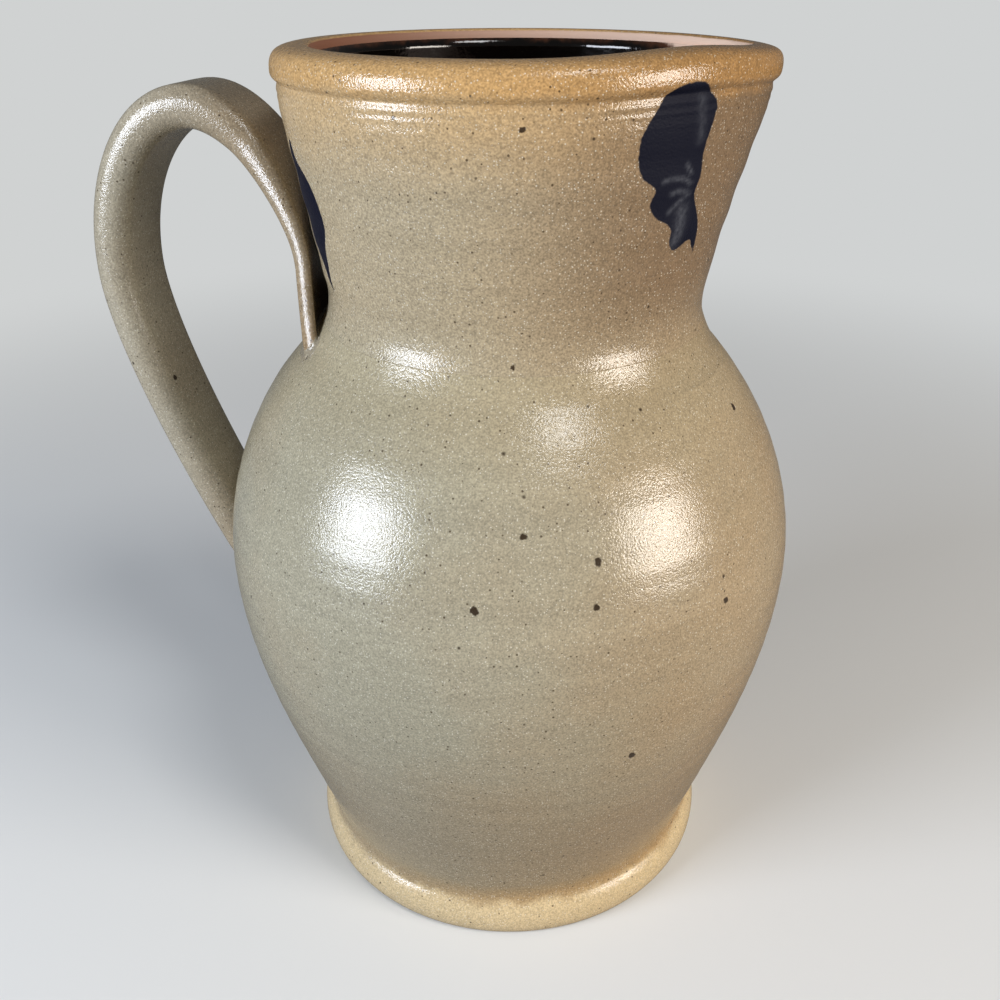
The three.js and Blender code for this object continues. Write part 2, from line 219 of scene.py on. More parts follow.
# turns a profile about the axis, with throwing rings, a lean and a pulled spout
def thrownTree():
    tree, add = newTree("thrownOnTheWheel", thrownInputs)
    given = add("NodeGroupInput").outputs
    grid, turn, spot, carried = rowGrid(add, given, "Around", thrownCarried)
    at = add("SeparateXYZ", {0: spot}).outputs

    # throwing rings climb the wall as one slow spiral, stronger in some places than in others
    climb = add("Math", {0: at["Z"], 1: given["Ring Pitch"]}, operation="DIVIDE")
    phase = add("Math", {0: climb, 1: fullTurn, 2: turn}, operation="MULTIPLY_ADD")
    wave = add("Math", {0: phase}, operation="SINE")
    beat = add("Math", {0: climb, 1: given["Ring Beat"], 2: given["Seed"]}, operation="MULTIPLY_ADD")
    swell = add("TexNoise", {"W": beat, "Scale": 1.0, "Detail": 1.0}, noise_dimensions="1D")
    ringed = add("Math", {0: wave, 1: swell}, operation="MULTIPLY")
    deep = add("Math", {0: ringed, 1: given["Ring Depth"]}, operation="MULTIPLY")
    ring = add("Math", {0: deep, 1: carried["outside"]}, operation="MULTIPLY")

    # the pull of the spout is strongest at the nose and dies away down the throat
    aside = add("Math", {0: turn}, operation="ABSOLUTE")
    share = add("Math", {0: aside, 1: given["Spout Spread"]}, operation="DIVIDE")
    fall = add("Math", {0: share, 1: given["Spout Sharpness"]}, operation="POWER")
    minus = add("Math", {0: fall, 1: -1.0}, operation="MULTIPLY")
    nose = add("Math", {0: minus}, operation="EXPONENT")
    above = add("Math", {0: at["Z"], 1: given["Throat Low"]}, operation="SUBTRACT")
    upThroat = add("Math", {0: above, 1: given["Throat Length"]}, operation="DIVIDE")
    held = add("Math", {0: upThroat, 1: 0.0}, operation="MAXIMUM")
    rise = add("Math", {0: held, 1: given["Throat Rise"]}, operation="POWER")
    full = add("Math", {0: given["Spout Thinning"], 1: carried["depth"], 2: given["Spout Pull"]},
               operation="MULTIPLY_ADD")
    pulled = add("Math", {0: full, 1: nose}, operation="MULTIPLY")
    reach = add("Math", {0: pulled, 1: rise, 2: ring}, operation="MULTIPLY_ADD")
    radius = add("Math", {0: at["X"], 1: reach}, operation="ADD")
    lean = add("MapRange", {
        "Value": at["Z"], "From Min": given["Lean Low"], "From Max": given["Lean High"],
        "To Max": given["Lean"]}, interpolation_type="SMOOTHSTEP")
    cosine = add("Math", {0: turn}, operation="COSINE")
    sine = add("Math", {0: turn}, operation="SINE")
    x = add("Math", {0: radius, 1: cosine, 2: lean}, operation="MULTIPLY_ADD")
    y = add("Math", {0: radius, 1: sine}, operation="MULTIPLY")

    # the lip stands a little higher on one side of the spout
    aslant = add("Math", {0: turn, 1: given["Lift At"]}, operation="SUBTRACT")
    off = add("Math", {0: aslant, 1: given["Lift Spread"]}, operation="DIVIDE")
    squared = add("Math", {0: off, 1: off}, operation="MULTIPLY")
    less = add("Math", {0: squared, 1: -1.0}, operation="MULTIPLY")
    hump = add("Math", {0: less}, operation="EXPONENT")
    lifted = add("Math", {0: hump, 1: given["Lip Lift"]}, operation="MULTIPLY")
    z = add("Math", {0: lifted, 1: rise, 2: at["Z"]}, operation="MULTIPLY_ADD")
    point = add("CombineXYZ", {"X": x, "Y": y, "Z": z})

    # bare clay is stored before the grid is turned, while its own place still gives the row
    flow = add("GeometryNodeStoreNamedAttribute", data_type="FLOAT", domain="POINT", links={
        "Geometry": grid, "Name": "bare", "Value": carried["bare"]})
    closeTree(add, given, flow, point, insideOut=False)
    return tree


strapInputs = {"Sides": "Int", "Flatness": "Float", "Finger Groove": "Float", "Edge Swing": "Float",
               "Material": "Material"}
strapCarried = {"outward": "FLOAT_VECTOR", "halfWidth": "FLOAT", "halfDepth": "FLOAT", "corner": "FLOAT",
                "bend": "FLOAT"}


# sweeps a rounded oblong along the path of a pulled strap, with a shallow finger groove down its outer face
def strapTree():
    tree, add = newTree("pulledStrap", strapInputs)
    given = add("NodeGroupInput").outputs
    grid, turn, middle, carried = rowGrid(add, given, "Sides", strapCarried)

    # flat faces between round corners
    section = {}
    for label, kind, half in (("across", "COSINE", "halfWidth"), ("out", "SINE", "halfDepth")):
        plain = add("Math", {0: turn}, operation=kind)
        wide = add("Math", {0: plain, 1: given["Flatness"]}, operation="MULTIPLY")
        flat = add("Clamp", {"Value": wide, "Min": -1.0, "Max": 1.0})
        core = add("Math", {0: carried[half], 1: carried["corner"]}, operation="SUBTRACT")
        straight = add("Math", {0: flat, 1: core}, operation="MULTIPLY")
        section[label] = add("Math", {0: plain, 1: carried["corner"], 2: straight},
                             operation="MULTIPLY_ADD")
    across = section["across"]
    part = add("Math", {0: across, 1: carried["halfWidth"]}, operation="DIVIDE")
    edge = add("Math", {0: part, 1: part}, operation="MULTIPLY")
    inner = add("Math", {0: 1.0, 1: edge}, operation="SUBTRACT")
    bowl = add("Math", {0: inner, 1: inner}, operation="MULTIPLY")
    outerOnly = add("Math", {0: section["out"], 1: 0.0}, operation="MAXIMUM")
    groove = add("Math", {0: bowl, 1: given["Finger Groove"]}, operation="MULTIPLY")
    cut = add("Math", {0: groove, 1: outerOnly}, operation="MULTIPLY")
    outLength = add("Math", {0: section["out"], 1: cut}, operation="SUBTRACT")

    # the spread root curls round the neck, so a step across turns as it goes
    curl = add("Math", {0: across, 1: carried["bend"]}, operation="MULTIPLY")
    curlSine = add("Math", {0: curl}, operation="SINE")
    curlCosine = add("Math", {0: curl}, operation="COSINE")
    curlRise = add("Math", {0: 1.0, 1: curlCosine}, operation="SUBTRACT")
    acrossX = add("Math", {0: curlRise, 1: carried["bend"]}, operation="DIVIDE")
    acrossY = add("Math", {0: curlSine, 1: carried["bend"]}, operation="DIVIDE")
    acrossStep = add("CombineXYZ", {"X": acrossX, "Y": acrossY})
    swing = add("Math", {0: curl, 1: given["Edge Swing"]}, operation="MULTIPLY")
    facing = add("VectorRotate", {"Vector": carried["outward"], "Angle": swing}, rotation_type="Z_AXIS")
    outStep = add("VectorMath", {0: facing, "Scale": outLength}, operation="SCALE")
    steps = add("VectorMath", {0: acrossStep, 1: outStep}, operation="ADD")
    point = add("VectorMath", {0: middle, 1: steps}, operation="ADD")
    closeTree(add, given, grid, point, insideOut=True)
    return tree


# an empty material, what adds nodes to it, and the place on the piece in mm
def newMaterial(name):
    material = bpy.data.materials.new(name)
    material.use_nodes = True
    material.node_tree.nodes.clear()
    add = partial(addNode, material.node_tree)
    coords = add("TexCoord").outputs["Object"]
    point = add("VectorMath", {0: coords, "Scale": perMetre}, operation="SCALE")
    return material, add, point


# unglazed clay, darker towards the handle and paler towards the spout
bareClay = dict(dark="#7d523d", light="#e9cbb6", darkEnd=-45.0, lightEnd=45.0)


def bareTone(add, point):
    across = add("SeparateXYZ", {0: point}).outputs["X"]
    paler = add("MapRange", {
        "Value": across, "From Min": bareClay["darkEnd"], "From Max": bareClay["lightEnd"]})
    return add("Mix", data_type="RGBA", links={
        "Factor": paler, "A": hexColor(bareClay["dark"]), "B": hexColor(bareClay["light"])})


# iron in the clay that bled through the glaze: place in mm, radius in mm
ironBlooms = [
    ((13.7, -53.3, 216.4), 0.9), ((16.9, -65.8, 136.2), 1.0), ((32.9, -63.0, 130.3), 1.1),
    ((33.4, -66.0, 120.7), 1.0), ((8.0, -73.5, 121.1), 1.2), ((60.9, -45.0, 112.5), 1.1),
    ((43.1, -61.0, 75.7), 1.2), ((58.7, -14.8, 148.6), 1.1), ((10.7, -46.6, 166.7), 0.7),
    ((-26.0, -47.5, 221.7), 0.8), ((-44.0, 61.0, 118.0), 1.1), ((22.0, 73.0, 84.0), 0.9),
    ((-95.0, -6.7, 140.5), 0.9),
]


# salt glaze on grey-tan stoneware: orange-peel skin, toasted edges, iron specks, pale flecks as painted
# glints and, where brushed on, cobalt
def saltGlaze(name, look):
    material, add, point = newMaterial(name)
    at = add("SeparateXYZ", {0: point}).outputs

    # slow drift between grey and warm clay, warmer and a little darker towards the spout: partly flashed by
    # the flame that passed, partly painted shade and warm light on that side
    drift = add("TexNoise", {"Vector": point, "Scale": 1 / look["driftSize"], "Detail": 3.0})
    flashedAndShadedSide = add("MapRange", {
        "Value": at["X"], "From Min": look["coolEnd"], "From Max": look["warmEnd"],
        "To Max": look["flashingAndShade"]}, interpolation_type="SMOOTHSTEP")
    driftPart = add("MapRange", {
        "Value": drift, **noiseRange, "To Min": -look["driftAmount"], "To Max": look["driftAmount"]})
    warm = add("Math", {0: flashedAndShadedSide, 1: driftPart}, operation="ADD", use_clamp=True)
    color = add("Mix", data_type="RGBA", links={
        "Factor": warm, "A": hexColor(look["grey"]), "B": hexColor(look["warm"])})

    # faint level bands and fine lines left by the throwing: long round the pot, narrow up it
    streaks = {}
    for label, detail in (("band", 3.0), ("line", 2.0)):
        length, width = look[label + "Size"]
        drawn = add("VectorMath", {0: point, 1: (1 / length, 1 / length, 1 / width)}, operation="MULTIPLY")
        streaks[label] = add("TexNoise", {"Vector": drawn, "Scale": 1.0, "Detail": detail})
    bandTone = add("MapRange", {
        "Value": streaks["band"], **noiseRange, "To Min": 1 - look["banding"],
        "To Max": 1 + look["banding"]})
    color = add("VectorMath", {0: color, "Scale": bandTone}, operation="SCALE")

    # edges where the flame toasted the glaze, and paler glaze on the foot
    ragged = add("TexNoise", {"Vector": point, "Scale": 1 / look["raggedSize"], "Detail": 4.0})
    raggedStep = add("MapRange", {
        "Value": ragged, "To Min": -look["raggedness"], "To Max": look["raggedness"]})
    height = add("Math", {0: at["Z"], 1: raggedStep}, operation="ADD")
    for (low, high), (left, right), tint, amount in look["tones"]:
        upShare = add("MapRange", {
            "Value": height, "From Min": low, "From Max": high, "To Max": amount},
            interpolation_type="SMOOTHSTEP")
        sideShare = add("MapRange", {"Value": at["X"], "From Min": left, "From Max": right},
                        interpolation_type="SMOOTHSTEP")
        share = add("Math", {0: upShare, 1: sideShare}, operation="MULTIPLY")
        color = add("Mix", data_type="RGBA", links={"Factor": share, "A": color, "B": hexColor(tint)})

    # orange peel: a fine pebbled skin over a coarser one, darker in its pits and paler on its fine crests,
    # the paler part painted glints
    peel = add("TexNoise", {
        "Vector": point, "Scale": 1 / look["peelSize"], "Detail": 1.5, "Roughness": 0.45})
    coarse = add("TexNoise", {"Vector": point, "Scale": 1 / look["coarseSize"], "Detail": 2.0})
    peelLow, peelHigh = look["peelRange"]
    peelToneAndGlint = add("MapRange", {
        "Value": peel, "From Min": peelLow, "From Max": peelHigh, "To Min": -look["peelToneAndGlint"],
        "To Max": look["peelToneAndGlint"]})
    coarseAmount = look["peelToneAndGlint"] * look["coarseTone"]
    coarseTone = add("MapRange", {
        "Value": coarse, **noiseRange, "To Min": -coarseAmount, "To Max": coarseAmount})
    skinToneAndGlint = add("Math", {0: peelToneAndGlint, 1: coarseTone}, operation="ADD")
    skin = add("Math", {0: skinToneAndGlint, 1: 1.0}, operation="ADD")
    color = add("VectorMath", {0: color, "Scale": skin}, operation="SCALE")

    # pale flecks that are painted glints and dark specks of iron, each cell of a Voronoi pattern holding
    # one or none
    for cell, radius, chance, strength, tint in look["specksAndGlints"]:
        cells = add("TexVoronoi", {"Vector": point, "Scale": 1 / cell}).outputs
        luck = add("SeparateColor", {0: cells["Color"]}).outputs
        size = add("MapRange", {
            "Value": luck["Red"], "From Min": 1 - chance, "From Max": 1.0, "To Max": radius / cell})
        fade = add("Math", {0: size, 1: look["speckAndGlintCore"]}, operation="MULTIPLY")
        speckAndGlint = add("MapRange", {
            "Value": cells["Distance"], "From Min": fade, "From Max": size, "To Min": strength,
            "To Max": 0.0})
        there = add("Math", {0: luck["Red"], 1: 1 - chance}, operation="GREATER_THAN")
        shown = add("Math", {0: speckAndGlint, 1: there}, operation="MULTIPLY", use_clamp=True)
        color = add("Mix", data_type="RGBA", links={"Factor": shown, "A": color, "B": hexColor(tint)})
    wobble = look["bloomWobble"]
    for spot, radius in ironBlooms:
        gap = add("VectorMath", {0: point, 1: spot}, operation="DISTANCE")
        uneven = add("Math", {0: coarse, 1: wobble, 2: gap}, operation="MULTIPLY_ADD")
        bloom = add("MapRange", {
            "Value": uneven, "From Min": radius * look["bloomCore"] + wobble / 2,
            "From Max": radius + wobble / 2, "To Min": look["bloomAmount"], "To Max": 0.0},
            interpolation_type="SMOOTHSTEP")
        color = add("Mix", data_type="RGBA", links={
            "Factor": bloom, "A": color, "B": hexColor(look["iron"])})

    # a glossy glaze, uneven with the coarser skin
    gloss = add("MapRange", {
        "Value": coarse, **noiseRange, "To Min": look["roughLow"], "To Max": look["roughHigh"]})
    finish = {"IOR": look["ior"]}
    # cobalt brushed on before the firing, thin along the streaks of the brush and duller than the glaze
    if look["painted"]:
        cobalt = add("Attribute", attribute_name="cobalt").outputs["Fac"]
        grain = add("TexNoise", {"Vector": point, "Scale": 1 / look["grainSize"], "Detail": 3.0})
        frayed = add("Math", {0: grain, 1: -look["fray"], 2: cobalt}, operation="MULTIPLY_ADD")
        full, gone = look["paintEdge"]
        paint = add("MapRange", {
            "Value": frayed, "From Min": full, "From Max": gone, "To Min": 1.0, "To Max": 0.0})
        brushed = add("Attribute", attribute_name="thinned").outputs["Fac"]
        least, most = look["patchiness"]
        patchy = add("MapRange", {"Value": grain, **noiseRange, "To Min": least, "To Max": most})
        thin = add("Math", {0: brushed, 1: patchy}, operation="MULTIPLY", use_clamp=True)
        blue = add("Mix", data_type="RGBA", links={
            "Factor": thin, "A": hexColor(look["cobaltDeep"]), "B": hexColor(look["cobaltThin"])})
        color = add("Mix", data_type="RGBA", links={"Factor": paint, "A": color, "B": blue})
        gloss = add("Mix", data_type="FLOAT", links={"Factor": paint, "A": gloss, "B": look["paintRough"]})
        finish["Specular IOR Level"] = add("MapRange", {
            "Value": paint, "To Min": look["specular"], "To Max": look["paintSpecular"]})

    # bare clay where the piece stood or was wiped
    bare = add("Attribute", attribute_name="bare").outputs["Fac"]
    bareEdge = add("Math", {0: ragged, 1: look["bareFray"], 2: bare}, operation="MULTIPLY_ADD")
    glazeEnd, clayStart = look["bareEdge"]
    barePart = add("MapRange", {"Value": bareEdge, "From Min": glazeEnd, "From Max": clayStart})
    finish["Base Color"] = add("Mix", data_type="RGBA", links={
        "Factor": barePart, "A": color, "B": bareTone(add, point)})
    finish["Roughness"] = add("Mix", data_type="FLOAT", links={
        "Factor": barePart, "A": gloss, "B": look["bareRough"]})

    # relief of the skin and of the throwing lines
    relief = add("Math", {0: coarse, 1: look["coarseShare"], 2: peel}, operation="MULTIPLY_ADD")
    lined = add("Math", {0: streaks["line"], 1: look["lineShare"], 2: relief}, operation="MULTIPLY_ADD")
    finish["Normal"] = add("Bump", {"Strength": 1.0, "Distance": look["peelDepth"] * mm, "Height": lined})
    shader = add("BsdfPrincipled", finish)
    add("OutputMaterial", {"Surface": shader})
    return material


# sizes in mm; specks and glints are (cell, radius, chance, strength, tint), the pale ones painted glints
stoneware = dict(
    # the warm side, towards the spout, is partly painted shade and warm light
    grey="#9b9682", warm="#9c8769", coolEnd=-25.0, warmEnd=85.0, flashingAndShade=0.9,
    driftSize=38.0, driftAmount=0.2, bandSize=(83.333, 4.5455), banding=0.05,
    raggedSize=6.25, raggedness=2.5, peelSize=0.45, peelRange=(0.33, 0.67), peelToneAndGlint=0.2, peelDepth=0.085,
    coarseSize=1.125, coarseTone=0.35, coarseShare=0.5, lineSize=(50.0, 1.1111), lineShare=0.4,
    roughLow=0.12, roughHigh=0.2, ior=1.5, specular=0.5,
    # the first, pale flecks are painted glints; the others are specks of iron
    specksAndGlints=[(0.6, 0.23, 0.9, 0.6, "#e4dfcf"), (1.6, 0.38, 0.75, 0.85, "#3a2a1a"),
            (5.5, 0.7, 0.4, 0.9, "#2c1f13")],
    speckAndGlintCore=0.45, iron="#2c1f13", bloomWobble=1.2, bloomCore=0.65, bloomAmount=0.95,
    bareFray=0.5, bareEdge=(0.55, 0.95), bareRough=0.75,
    painted=False, tones=[],
)
cobaltPaint = dict(
    painted=True, cobaltDeep="#0a0d1e", cobaltThin="#4b4e57", grainSize=1.1111, fray=0.5,
    paintEdge=(-0.4, -0.1), patchiness=(0.4, 1.3), paintRough=0.6, paintSpecular=0.12,
)

# tones are (from and to height, from and to X, tint, amount), mm
allRound = (-200.0, -190.0)  # the whole pot is past these
# painted shade: the spout side of the neck and shoulder darker and browner
spoutSideShade = ((150.0, 186.0), (-4.0, 46.0), "#6e5740", 0.85)
# belly: salt-glazed stoneware, with painted shade on the spout side of the shoulder, darker towards the
# bottom, cream on the foot and toasted in the crease above it
bellyGlaze = saltGlaze("saltGlazedStoneware", dict(stoneware, tones=[
    ((135.0, 168.0), allRound, "#a89a7a", 0.5), spoutSideShade,
    ((95.0, 25.0), allRound, "#8a7355", 0.45),
    ((20.0, 12.0), (-90.0, 40.0), "#ae8c58", 0.5),
    ((13.0, 9.5), allRound, "#c6b28c", 0.9)]))
# neck: the same glaze, paler in front, darker and browner on the spout side as painted shade, toasted
# towards the rim and darker at the rim on the spout side
collarGlaze = saltGlaze("toastedSaltGlaze", dict(
    stoneware, **cobaltPaint, peelDepth=0.11, peelToneAndGlint=0.24, tones=[
        ((150.0, 180.0), allRound, "#ab9a7c", 0.75), spoutSideShade,
        ((200.0, 222.0), (52.0, 6.0), "#c3a06e", 0.6),
        ((219.0, 224.0), allRound, "#bb9158", 0.6),
        ((219.0, 224.0), (0.0, 50.0), "#86643c", 0.45)]))
# handle: the same glaze, browner towards its root
handleGlaze = saltGlaze("saltGlazedStrap", dict(
    stoneware, peelDepth=0.11, grey="#9f9784", warm="#8d7658", coolEnd=-120.0, warmEnd=-20.0))
# joints: slip that was smoothed over and took a thin glaze
lutingGlaze = saltGlaze("glazedLutingSlip", dict(stoneware, grey="#928a77", warm="#97846a"))
print("salt glaze ready")


# dark glassy slip inside, breaking brown where it runs thin and bare clay above it
def slipGlaze(name, look):
    material, add, point = newMaterial(name)
    edge = add("Attribute", attribute_name="glazeEdge").outputs["Fac"]
    ragged = add("TexNoise", {"Vector": point, "Scale": 1 / look["raggedSize"], "Detail": 3.0})
    level = add("Math", {0: ragged, 1: look["raggedness"], 2: edge}, operation="MULTIPLY_ADD")
    share = {}
    for label in ("thinEdge", "bareEdge"):
        low, high = look[label]
        share[label] = add("MapRange", {
            "Value": level, "From Min": low, "From Max": high}, interpolation_type="SMOOTHSTEP")
    slip = add("Mix", data_type="RGBA", links={
        "Factor": share["thinEdge"], "A": hexColor(look["slip"]), "B": hexColor(look["thin"])})
    color = add("Mix", data_type="RGBA", links={
        "Factor": share["bareEdge"], "A": slip, "B": bareTone(add, point)})
    rough = add("Mix", data_type="FLOAT", links={
        "Factor": share["bareEdge"], "A": look["rough"], "B": look["bareRough"]})
    mottle = add("TexNoise", {"Vector": point, "Scale": 1 / look["mottleSize"], "Detail": 3.0})
    ripple = add("TexNoise", {"Vector": point, "Scale": 1 / look["rippleSize"], "Detail": 2.0})
    relief = add("Math", {0: mottle, 1: look["mottleShare"], 2: ripple}, operation="MULTIPLY_ADD")
    bump = add("Bump", {"Strength": 1.0, "Distance": look["rippleDepth"] * mm, "Height": relief})
    shader = add("BsdfPrincipled", {
        "Base Color": color, "Roughness": rough, "Normal": bump, "IOR": look["ior"]})
    add("OutputMaterial", {"Surface": shader})
    return material


# lining: black-brown slip glaze, sizes in mm
liningGlaze = slipGlaze("darkSlipGlaze", dict(
    slip="#060403", thin="#4a2c1c", rough=0.1, bareRough=0.7, ior=1.5,
    raggedSize=3.3333, raggedness=4.0, thinEdge=(-0.8, 1.8), bareEdge=(1.3, 2.9),
    mottleSize=0.9091, mottleShare=0.25, rippleSize=4.0, rippleDepth=0.1))

thrown = thrownTree()


# a profile of (radius, height) in mm, turned on the wheel; what it doesn't carry is nought
def throwPiece(name, points, carried, values):
    rows = len(points)
    numbers = {label: carried.get(label, np.zeros(rows)) for label in thrownCarried}
    piece = outlineObject(name, np.column_stack([points[:, 0], np.zeros(rows), points[:, 1]]), numbers)
    shape(piece, thrown, {**handValues, "Ring Beat": ringBeat, **values})
    return piece


# one between two edges, fading in over the low one and out over the high one
def between(value, low, high):
    return smooth(value, *low) * (1 - smooth(value, *high))


plainWall = {"Ring Depth": 0.0, "Ring Pitch": 9.0 * mm, "Seed": 0.0}  # no throwing rings

# belly, mm: pairs are (radius, height), a list of them is corners with their handles
bellyShape = dict(
    base=57.4,
    foot=[(57.4, 0.0), (59.2, 0.0), (60.3, 1.6), (60.3, 4.4), (60.3, 7.4), (59.3, 9.4), (58.2, 10.9),
          (57.6, 11.8), (57.4, 13.4), (57.75, 15.0)],
    lower=[(57.75, 15.0), (66.0, 43.9), (77.0, 71.5), (77.2, 100.0)],
    upper=[(77.2, 100.0), (77.2, 127.5), (62.0, 150.7), (48.6, 161.5)],
    ridge=156.2, ridgeReach=1.0, shoulderEase=3.0, turn=(48.05, 166.0), turnAngle=23.0, turnLead=3.5,
    turnTrail=1.5, waistLead=(47.2, 168.9), waist=(47.2, 171.5),
    seam=165.0, seamGap=0.02, seamDepth=0.02, seamEdge=0.08,
    wall=6.0, wallTop=157.2, bore=42.0, floor=8.0, fillet=6.0, filletLead=(0.8, 2.4), filletTrail=2.6,
    ringDepth=0.06, ringPitch=6.5, ringLow=(18.0, 28.0), ringHigh=(150.0, 162.0), seed=3.0,
    footSteps=(8, 12, 10), wallSteps=90, ridgeSteps=15, turnSteps=(40, 24), filletSteps=8, innerStride=6,
    underSteps=13, boreSteps=4, floorSteps=8, around=240,
)
b = bellyShape
foot = curves(b["foot"], b["footSteps"])
lower = bezier(*b["lower"], b["wallSteps"])
upper = bezier(*b["upper"], b["wallSteps"])
# one smooth hollow runs from the shoulder into the neck, and the seam cuts across it
ridgeRows = np.linspace(b["ridge"] - b["ridgeReach"], b["ridge"] + b["ridgeReach"], b["ridgeSteps"])
ridgeRun = np.column_stack([radiusAt(upper, ridgeRows), ridgeRows])
shoulder = np.vstack([upper[upper[:, 1] < ridgeRows[0]], ridgeRun])
way = unit(shoulder[-1] - shoulder[-2])
turnPoint = np.array(b["turn"])
lean = math.radians(b["turnAngle"])
steep = np.array([-math.sin(lean), math.cos(lean)])
hollow = curves([
    shoulder[-1], shoulder[-1] + way * b["shoulderEase"], turnPoint - steep * b["turnLead"], turnPoint,
    turnPoint + steep * b["turnTrail"], b["waistLead"], b["waist"]], b["turnSteps"])
seamRadius = radiusAt(hollow, b["seam"])
edgeLow = b["seam"] - b["seamEdge"]
edgeHigh = b["seam"] + b["seamEdge"]
underEdge = (radiusAt(hollow, edgeLow), edgeLow)
overEdge = (radiusAt(hollow, edgeHigh), edgeHigh)
underSeam = np.vstack([hollow[hollow[:, 1] < edgeLow], [underEdge]])
overSeam = np.vstack([[overEdge], hollow[hollow[:, 1] > edgeHigh]])
seamLow = (seamRadius - b["seamDepth"], b["seam"] - b["seamGap"])
seamHigh = (seamRadius - b["seamDepth"], b["seam"] + b["seamGap"])
outerWall = np.vstack([foot, lower[1:], shoulder[1:], underSeam[1:], [seamLow]])
inner = np.vstack([upper[::-1], lower[::-1]]) - np.array([b["wall"], 0.0])
inner = inner[(inner[:, 1] < b["wallTop"]) & (inner[:, 1] > b["floor"] + b["fillet"])]
cornerAt = inner[-1][0]
floorTurn = bezier(inner[-1], (cornerAt - b["filletLead"][0], b["floor"] + b["filletLead"][1]),
                   (cornerAt - b["filletTrail"], b["floor"]), (cornerAt - b["fillet"], b["floor"]),
                   b["filletSteps"])
inner = np.vstack([inner[:-1:b["innerStride"]], floorTurn])
boreTop = (b["bore"], seamLow[1])
bellyPoints, bellyOwner = join([
    ("under", np.linspace((0.0, 0.0), (b["base"], 0.0), b["underSteps"])), ("out", outerWall),
    ("in", np.linspace(seamLow, boreTop, b["boreSteps"])),
    ("in", np.linspace(boreTop, inner[0], b["boreSteps"])), ("in", inner),
    ("in", np.linspace(inner[-1], (0.0, b["floor"]), b["floorSteps"]))])
belly = throwPiece("belly_pot", bellyPoints, dict(
    bare=(bellyOwner == "under") * 1.0,
    outside=(bellyOwner == "out") * between(bellyPoints[:, 1], b["ringLow"], b["ringHigh"])), {
    "Around": b["around"], "Ring Depth": b["ringDepth"] * mm, "Ring Pitch": b["ringPitch"] * mm,
    "Seed": b["seed"], "Material": bellyGlaze})

# a raised tool mark, part of the way round the shoulder on the spout side; mm and degrees
toolMark = dict(width=0.4, rise=0.006, start=(-36.0, -24.0), stop=(4.0, 16.0), outside=50.0)
spots, azimuth = spotsOf(belly)
mark = np.exp(-((spots[:, 2] - b["ridge"]) / toolMark["width"]) ** 2)
mark *= between(azimuth, toolMark["start"], toolMark["stop"])
mark *= np.hypot(spots[:, 0], spots[:, 1]) > toolMark["outside"]
spots[:, :2] *= (1 + toolMark["rise"] * mark)[:, None]
belly.data.vertices.foreach_set("co", spots.ravel() * mm)
place(belly, "belly")

# collar, mm: pairs are (radius, height), a list of them is corners with their handles
collarShape = dict(
    neck=[(47.2, 171.5), (47.2, 174.6), (47.95, 176.4), (48.35, 178.8), (50.2, 190.5), (53.0, 205.0),
          (54.6, 215.0)],
    groove=[(54.8, 219.5), (54.75, 219.9), (54.65, 220.1), (54.65, 220.5)],
    bead=[(54.65, 220.5), (54.8, 221.1), (56.0, 221.3), (56.0, 222.7), (56.0, 224.2), (55.8, 225.2),
          (55.3, 226.0), (54.5, 227.28), (52.8, 228.0), (48.6, 228.0)],
    lip=[(48.6, 228.0), (47.5, 228.0), (46.5, 227.6), (46.5, 226.2)],
    bore=[(46.5, 226.2), (46.5, 206.0), (42.3, 186.0)], boreLow=42.3,
    ridges=[(0.12, 219.0), (0.1, 217.3)], ridgeWidth=0.45, throatWall=5.0, wipedLip=(1.1, 2.0),
    ringDepth=0.2, ringPitch=10.0, ringLow=(170.0, 180.0), ringHigh=(208.0, 215.0), seed=11.0,
    neckSteps=(16, 74), bandSteps=18, grooveSteps=6, beadSteps=(10, 10, 16), lipSteps=8, boreSteps=24,
    seamSteps=5, around=420,
)
c = collarShape
outside = np.vstack([
    [seamHigh], overSeam, curves(c["neck"], c["neckSteps"])[1:],
    np.linspace(c["neck"][-1], c["groove"][0], c["bandSteps"])[1:],
    bezier(*c["groove"], c["grooveSteps"])[1:]])
bead = curves(c["bead"], c["beadSteps"])
lip = bezier(*c["lip"], c["lipSteps"])
boreFoot = (c["boreLow"], seamHigh[1])
bore = bezier(*c["bore"], boreFoot, c["boreSteps"])
collarPoints, collarOwner = join([
    ("out", outside), ("bead", bead), ("lip", lip), ("in", bore),
    ("in", np.linspace(boreFoot, seamHigh, c["seamSteps"]))])
height = collarPoints[:, 1]
for rise, middle in c["ridges"]:
    ridge = rise * np.exp(-((height - middle) / c["ridgeWidth"]) ** 2)
    collarPoints[:, 0] += ridge * (collarOwner == "out")
wallDepth = radiusAt(np.vstack([outside, bead]), height) - collarPoints[:, 0]
wiped = (collarOwner == "lip") * smooth(c["lip"][0][0] - collarPoints[:, 0], *c["wipedLip"])
collar = throwPiece("neck_and_rim", collarPoints, dict(
    depth=np.clip(wallDepth / c["throatWall"], 0, 1), bare=wiped + (collarOwner == "in") * 1.0,
    outside=(collarOwner == "out") * between(height, c["ringLow"], c["ringHigh"])), {
    "Around": c["around"], "Ring Depth": c["ringDepth"] * mm, "Ring Pitch": c["ringPitch"] * mm,
    "Seed": c["seed"], "Material": collarGlaze})

